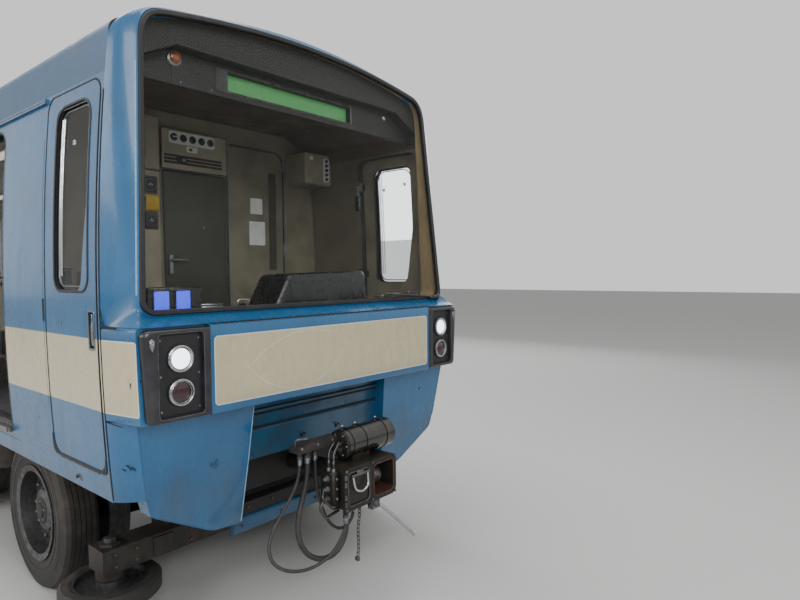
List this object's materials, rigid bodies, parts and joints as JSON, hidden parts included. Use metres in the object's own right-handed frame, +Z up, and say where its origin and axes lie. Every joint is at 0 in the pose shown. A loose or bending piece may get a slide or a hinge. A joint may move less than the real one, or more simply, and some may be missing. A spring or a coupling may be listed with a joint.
{
  "type": "rubber-tyred metro motor car with driving cab",
  "caption": "Metro motor car on rubber tyres: hollow saloon and cab, sliding side doors, hinged cab doors, large windscreen, lamp pods, guided bogies and couplers.",
  "frame": {"origin": "centre of the car's footprint on the surface the tyres roll on, midway between the coupler faces", "axes": "+X forward to the cab, +Y to the left, +Z up"},
  "size_m": [16.96, 2.524, 3.4213],
  "materials": {
    "body_paint": "satin blue enamel",
    "roof_paint": "dusty blue enamel",
    "floor": "worn floor covering",
    "clear_glass": "clear",
    "pod_black": "near-black",
    "lamp_glass": "clear and red lenses",
    "cab_grey": "satin grey",
    "desk_black": "grained black",
    "seat_shell": "moulded",
    "polished_steel": "polished",
    "running_gear_steel": "grimy dark paint",
    "tyre_rubber": "worn rubber",
    "hose_rubber": "matt"
  },
  "bodies": {
    "car_body": {"deck": "floor", "side_right": "body_paint", "side_left": "body_paint", "side_windows": "clear_glass", "roof": "roof_paint", "roof_ventilators": "roof_paint", "front_mask": "body_paint", "windscreen": "clear_glass", "front_band": "body_paint", "lamp_pods": "pod_black", "front_lamps": "lamp_glass", "front_apron": "body_paint", "rear_wall": "body_paint", "cab_bulkhead": "cab_grey", "cab_desk": "desk_black", "cab_seat": "seat_shell", "cab_header": "cab_grey", "wiper": "pod_black", "seats": "seat_shell", "grab_poles": "polished_steel", "equipment_boxes": "running_gear_steel", "air_reservoirs": "running_gear_steel", "coupler_front": "running_gear_steel", "coupler_rear": "running_gear_steel", "hose_main": "hose_rubber", "hose_inner": "hose_rubber", "hose_outer": "hose_rubber"},
    "bogie_front": {"bogie_front": "running_gear_steel"},
    "wheelset_front_leading": {"wheelset_front_leading": "tyre_rubber"},
    "guide_wheel_front_leading_right": {"guide_wheel_front_leading_right": "tyre_rubber"},
    "guide_wheel_front_leading_left": {"guide_wheel_front_leading_left": "tyre_rubber"},
    "wheelset_front_trailing": {"wheelset_front_trailing": "tyre_rubber"},
    "guide_wheel_front_trailing_right": {"guide_wheel_front_trailing_right": "tyre_rubber"},
    "guide_wheel_front_trailing_left": {"guide_wheel_front_trailing_left": "tyre_rubber"},
    "bogie_rear": {"bogie_rear": "running_gear_steel"},
    "wheelset_rear_leading": {"wheelset_rear_leading": "tyre_rubber"},
    "guide_wheel_rear_leading_right": {"guide_wheel_rear_leading_right": "tyre_rubber"},
    "guide_wheel_rear_leading_left": {"guide_wheel_rear_leading_left": "tyre_rubber"},
    "wheelset_rear_trailing": {"wheelset_rear_trailing": "tyre_rubber"},
    "guide_wheel_rear_trailing_right": {"guide_wheel_rear_trailing_right": "tyre_rubber"},
    "guide_wheel_rear_trailing_left": {"guide_wheel_rear_trailing_left": "tyre_rubber"},
    "door_right_1_front": {"door_right_1_front": "body_paint"},
    "door_right_1_rear": {"door_right_1_rear": "body_paint"},
    "door_right_2_front": {"door_right_2_front": "body_paint"},
    "door_right_2_rear": {"door_right_2_rear": "body_paint"},
    "door_right_3_front": {"door_right_3_front": "body_paint"},
    "door_right_3_rear": {"door_right_3_rear": "body_paint"},
    "door_right_4_front": {"door_right_4_front": "body_paint"},
    "door_right_4_rear": {"door_right_4_rear": "body_paint"},
    "door_left_1_front": {"door_left_1_front": "body_paint"},
    "door_left_1_rear": {"door_left_1_rear": "body_paint"},
    "door_left_2_front": {"door_left_2_front": "body_paint"},
    "door_left_2_rear": {"door_left_2_rear": "body_paint"},
    "door_left_3_front": {"door_left_3_front": "body_paint"},
    "door_left_3_rear": {"door_left_3_rear": "body_paint"},
    "door_left_4_front": {"door_left_4_front": "body_paint"},
    "door_left_4_rear": {"door_left_4_rear": "body_paint"},
    "cab_door_right": {"cab_door_right": "body_paint"},
    "cab_door_left": {"cab_door_left": "body_paint"}
  },
  "joints": [
    {"name": "bogie_front_yaw", "type": "hinge", "parent": "car_body", "child": "bogie_front", "pos_m": [5.5, 0, 0.85], "axis": [0, 0, 1], "range_deg": [-4, 4]},
    {"name": "wheelset_front_leading_spin", "type": "hinge", "parent": "bogie_front", "child": "wheelset_front_leading", "pos_m": [6.55, 0, 0.485], "axis": [0, 1, 0], "continuous": true},
    {"name": "guide_wheel_front_leading_right_spin", "type": "hinge", "parent": "bogie_front", "child": "guide_wheel_front_leading_right", "pos_m": [7.35, -0.97, 0.23], "axis": [0, 0, 1], "continuous": true},
    {"name": "guide_wheel_front_leading_left_spin", "type": "hinge", "parent": "bogie_front", "child": "guide_wheel_front_leading_left", "pos_m": [7.35, 0.97, 0.23], "axis": [0, 0, 1], "continuous": true},
    {"name": "wheelset_front_trailing_spin", "type": "hinge", "parent": "bogie_front", "child": "wheelset_front_trailing", "pos_m": [4.45, 0, 0.485], "axis": [0, 1, 0], "continuous": true},
    {"name": "guide_wheel_front_trailing_right_spin", "type": "hinge", "parent": "bogie_front", "child": "guide_wheel_front_trailing_right", "pos_m": [3.65, -0.97, 0.23], "axis": [0, 0, 1], "continuous": true},
    {"name": "guide_wheel_front_trailing_left_spin", "type": "hinge", "parent": "bogie_front", "child": "guide_wheel_front_trailing_left", "pos_m": [3.65, 0.97, 0.23], "axis": [0, 0, 1], "continuous": true},
    {"name": "bogie_rear_yaw", "type": "hinge", "parent": "car_body", "child": "bogie_rear", "pos_m": [-5.5, 0, 0.85], "axis": [0, 0, 1], "range_deg": [-4, 4]},
    {"name": "wheelset_rear_leading_spin", "type": "hinge", "parent": "bogie_rear", "child": "wheelset_rear_leading", "pos_m": [-4.45, 0, 0.485], "axis": [0, 1, 0], "continuous": true},
    {"name": "guide_wheel_rear_leading_right_spin", "type": "hinge", "parent": "bogie_rear", "child": "guide_wheel_rear_leading_right", "pos_m": [-3.65, -0.97, 0.23], "axis": [0, 0, 1], "continuous": true},
    {"name": "guide_wheel_rear_leading_left_spin", "type": "hinge", "parent": "bogie_rear", "child": "guide_wheel_rear_leading_left", "pos_m": [-3.65, 0.97, 0.23], "axis": [0, 0, 1], "continuous": true},
    {"name": "wheelset_rear_trailing_spin", "type": "hinge", "parent": "bogie_rear", "child": "wheelset_rear_trailing", "pos_m": [-6.55, 0, 0.485], "axis": [0, 1, 0], "continuous": true},
    {"name": "guide_wheel_rear_trailing_right_spin", "type": "hinge", "parent": "bogie_rear", "child": "guide_wheel_rear_trailing_right", "pos_m": [-7.35, -0.97, 0.23], "axis": [0, 0, 1], "continuous": true},
    {"name": "guide_wheel_rear_trailing_left_spin", "type": "hinge", "parent": "bogie_rear", "child": "guide_wheel_rear_trailing_left", "pos_m": [-7.35, 0.97, 0.23], "axis": [0, 0, 1], "continuous": true},
    {"name": "door_right_1_front_slide", "type": "slide", "parent": "car_body", "child": "door_right_1_front", "axis": [-1, 0, 0], "range_m": [0, 0.6]},
    {"name": "door_right_1_rear_slide", "type": "slide", "parent": "car_body", "child": "door_right_1_rear", "axis": [1, 0, 0], "range_m": [0, 0.6]},
    {"name": "door_right_2_front_slide", "type": "slide", "parent": "car_body", "child": "door_right_2_front", "axis": [-1, 0, 0], "range_m": [0, 0.6]},
    {"name": "door_right_2_rear_slide", "type": "slide", "parent": "car_body", "child": "door_right_2_rear", "axis": [1, 0, 0], "range_m": [0, 0.6]},
    {"name": "door_right_3_front_slide", "type": "slide", "parent": "car_body", "child": "door_right_3_front", "axis": [-1, 0, 0], "range_m": [0, 0.6]},
    {"name": "door_right_3_rear_slide", "type": "slide", "parent": "car_body", "child": "door_right_3_rear", "axis": [1, 0, 0], "range_m": [0, 0.6]},
    {"name": "door_right_4_front_slide", "type": "slide", "parent": "car_body", "child": "door_right_4_front", "axis": [-1, 0, 0], "range_m": [0, 0.6]},
    {"name": "door_right_4_rear_slide", "type": "slide", "parent": "car_body", "child": "door_right_4_rear", "axis": [1, 0, 0], "range_m": [0, 0.6]},
    {"name": "door_left_1_front_slide", "type": "slide", "parent": "car_body", "child": "door_left_1_front", "axis": [1, 0, 0], "range_m": [0, 0.6]},
    {"name": "door_left_1_rear_slide", "type": "slide", "parent": "car_body", "child": "door_left_1_rear", "axis": [-1, 0, 0], "range_m": [0, 0.6]},
    {"name": "door_left_2_front_slide", "type": "slide", "parent": "car_body", "child": "door_left_2_front", "axis": [1, 0, 0], "range_m": [0, 0.6]},
    {"name": "door_left_2_rear_slide", "type": "slide", "parent": "car_body", "child": "door_left_2_rear", "axis": [-1, 0, 0], "range_m": [0, 0.6]},
    {"name": "door_left_3_front_slide", "type": "slide", "parent": "car_body", "child": "door_left_3_front", "axis": [1, 0, 0], "range_m": [0, 0.6]},
    {"name": "door_left_3_rear_slide", "type": "slide", "parent": "car_body", "child": "door_left_3_rear", "axis": [-1, 0, 0], "range_m": [0, 0.6]},
    {"name": "door_left_4_front_slide", "type": "slide", "parent": "car_body", "child": "door_left_4_front", "axis": [1, 0, 0], "range_m": [0, 0.6]},
    {"name": "door_left_4_rear_slide", "type": "slide", "parent": "car_body", "child": "door_left_4_rear", "axis": [-1, 0, 0], "range_m": [0, 0.6]},
    {"name": "cab_door_right_hinge", "type": "hinge", "parent": "car_body", "child": "cab_door_right", "pos_m": [7.344, -1.1399, 1.99], "axis": [0, 0, 1], "range_deg": [0, 85]},
    {"name": "cab_door_left_hinge", "type": "hinge", "parent": "car_body", "child": "cab_door_left", "pos_m": [7.344, 1.1399, 1.99], "axis": [0, 0, -1], "range_deg": [0, 85]}
  ],
  "couplings": [
    {"joint": "door_right_1_rear_slide", "follows": "door_right_1_front_slide", "ratio": 1},
    {"joint": "door_right_2_front_slide", "follows": "door_right_1_front_slide", "ratio": 1},
    {"joint": "door_right_2_rear_slide", "follows": "door_right_1_front_slide", "ratio": 1},
    {"joint": "door_right_3_front_slide", "follows": "door_right_1_front_slide", "ratio": 1},
    {"joint": "door_right_3_rear_slide", "follows": "door_right_1_front_slide", "ratio": 1},
    {"joint": "door_right_4_front_slide", "follows": "door_right_1_front_slide", "ratio": 1},
    {"joint": "door_right_4_rear_slide", "follows": "door_right_1_front_slide", "ratio": 1},
    {"joint": "door_left_1_rear_slide", "follows": "door_left_1_front_slide", "ratio": 1},
    {"joint": "door_left_2_front_slide", "follows": "door_left_1_front_slide", "ratio": 1},
    {"joint": "door_left_2_rear_slide", "follows": "door_left_1_front_slide", "ratio": 1},
    {"joint": "door_left_3_front_slide", "follows": "door_left_1_front_slide", "ratio": 1},
    {"joint": "door_left_3_rear_slide", "follows": "door_left_1_front_slide", "ratio": 1},
    {"joint": "door_left_4_front_slide", "follows": "door_left_1_front_slide", "ratio": 1},
    {"joint": "door_left_4_rear_slide", "follows": "door_left_1_front_slide", "ratio": 1}
  ]
}
